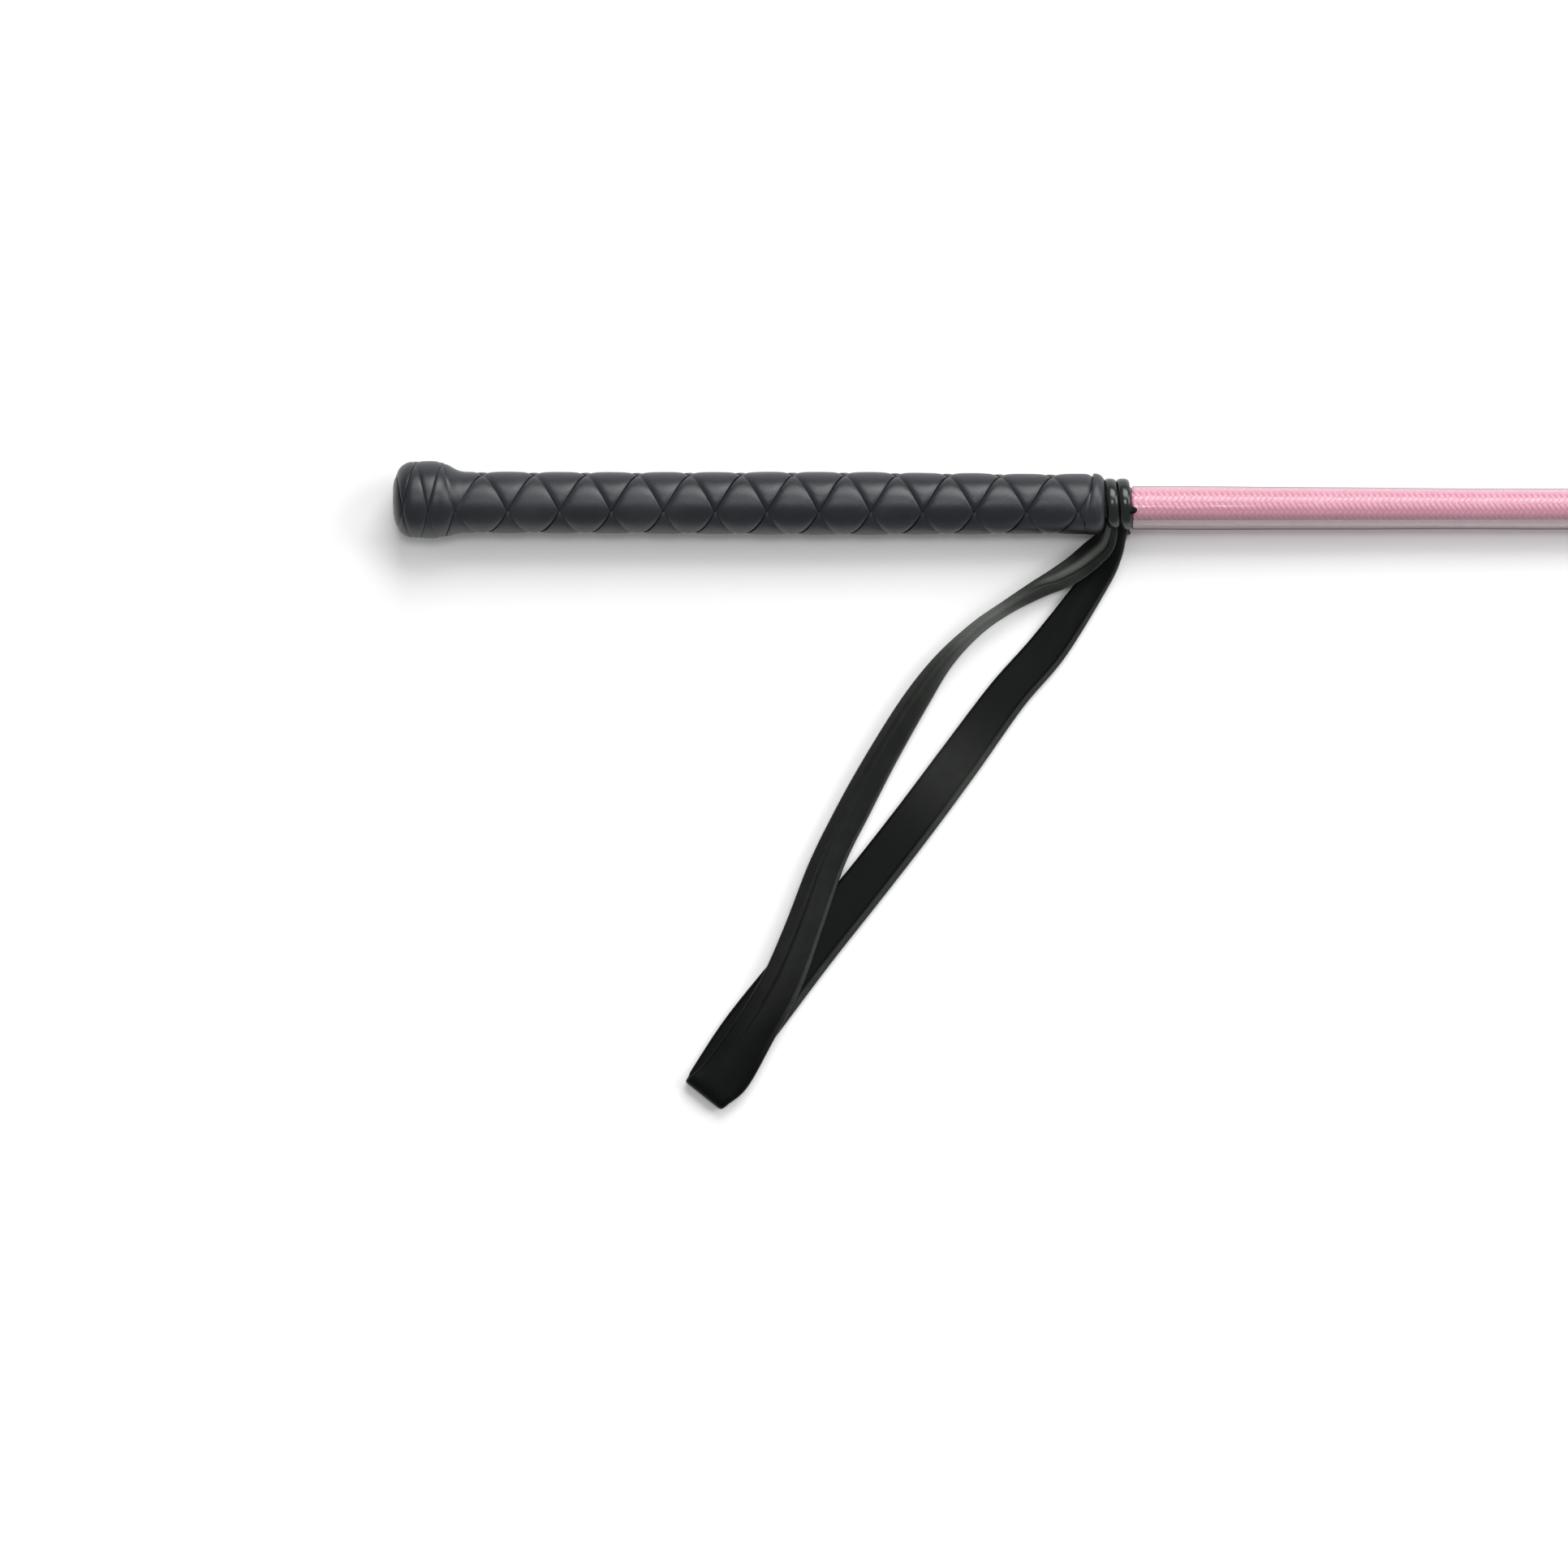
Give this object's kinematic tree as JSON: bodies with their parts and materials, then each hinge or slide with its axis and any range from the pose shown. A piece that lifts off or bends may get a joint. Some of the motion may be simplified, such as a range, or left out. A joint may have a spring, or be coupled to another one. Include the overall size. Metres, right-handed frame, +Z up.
{
  "type": "riding crop",
  "caption": "Riding crop with a braided rod in a clear sleeve, a plaited leather handle with a knob, a folded wrist strap hitched round the rod and a flat leather keeper.",
  "frame": {"origin": "on the handle's axis, in the flat end face of the butt plug", "axes": "+X along the rod from the butt to the tip, +Y away from the wrist strap, +Z up when the crop lies on a table"},
  "size_m": [0.65, 0.174, 0.0208],
  "materials": {
    "rod_glass_fibre": "bare cream glass fibre",
    "rod_braid": "tight braid of glossy pink nylon yarn",
    "knob_wood": "plain turned wood, hidden",
    "grip_rubber": "matt, hidden",
    "plait_leather": "soft satin black-grey leather",
    "strap_leather": "soft black leather, glossy on its bends",
    "keeper_leather": "firm satin black leather",
    "whipping_thread": "waxed black thread",
    "clear_plastic": "clear thin plastic tube"
  },
  "bodies": {
    "crop": {"core_rod": "rod_glass_fibre", "braid_cover": "rod_braid", "pommel_core": "knob_wood", "butt_plug": "plait_leather", "grip_core": "grip_rubber", "grip_strand_a1": "plait_leather", "grip_strand_a2": "plait_leather", "grip_strand_b1": "plait_leather", "grip_strand_b2": "plait_leather", "grip_end_band": "plait_leather", "keeper_root": "keeper_leather", "tip_whipping": "whipping_thread"},
    "sleeve": {"clear_sleeve": "clear_plastic"},
    "hitch": {"hitch_band_grip_side": "strap_leather", "hitch_band_shaft_side": "strap_leather", "hitch_bight": "strap_leather"},
    "wrist_loop": {"strap_leg_upper": "strap_leather", "strap_leg_lower": "strap_leather", "strap_fold": "strap_leather"},
    "keeper": {"keeper_ply_top": "keeper_leather", "keeper_ply_bottom": "keeper_leather"}
  },
  "joints": [
    {"name": "sleeve_slide", "type": "slide", "parent": "crop", "child": "sleeve", "axis": [1, 0, 0], "range_m": [0, 0.005]},
    {"name": "hitch_turn", "type": "hinge", "parent": "crop", "child": "hitch", "pos_m": [0.1965, 0, 0], "axis": [1, 0, 0], "continuous": true},
    {"name": "loop_swing", "type": "hinge", "parent": "hitch", "child": "wrist_loop", "pos_m": [0.1947, -0.0126, -0.0034], "axis": [0, 0, 1], "range_deg": [-15, 85]},
    {"name": "keeper_flex", "type": "hinge", "parent": "crop", "child": "keeper", "pos_m": [0.5946, 0, 0], "axis": [0, 1, 0], "range_deg": [-40, 40], "stiffness_Nm_per_rad": 0.02}
  ]
}
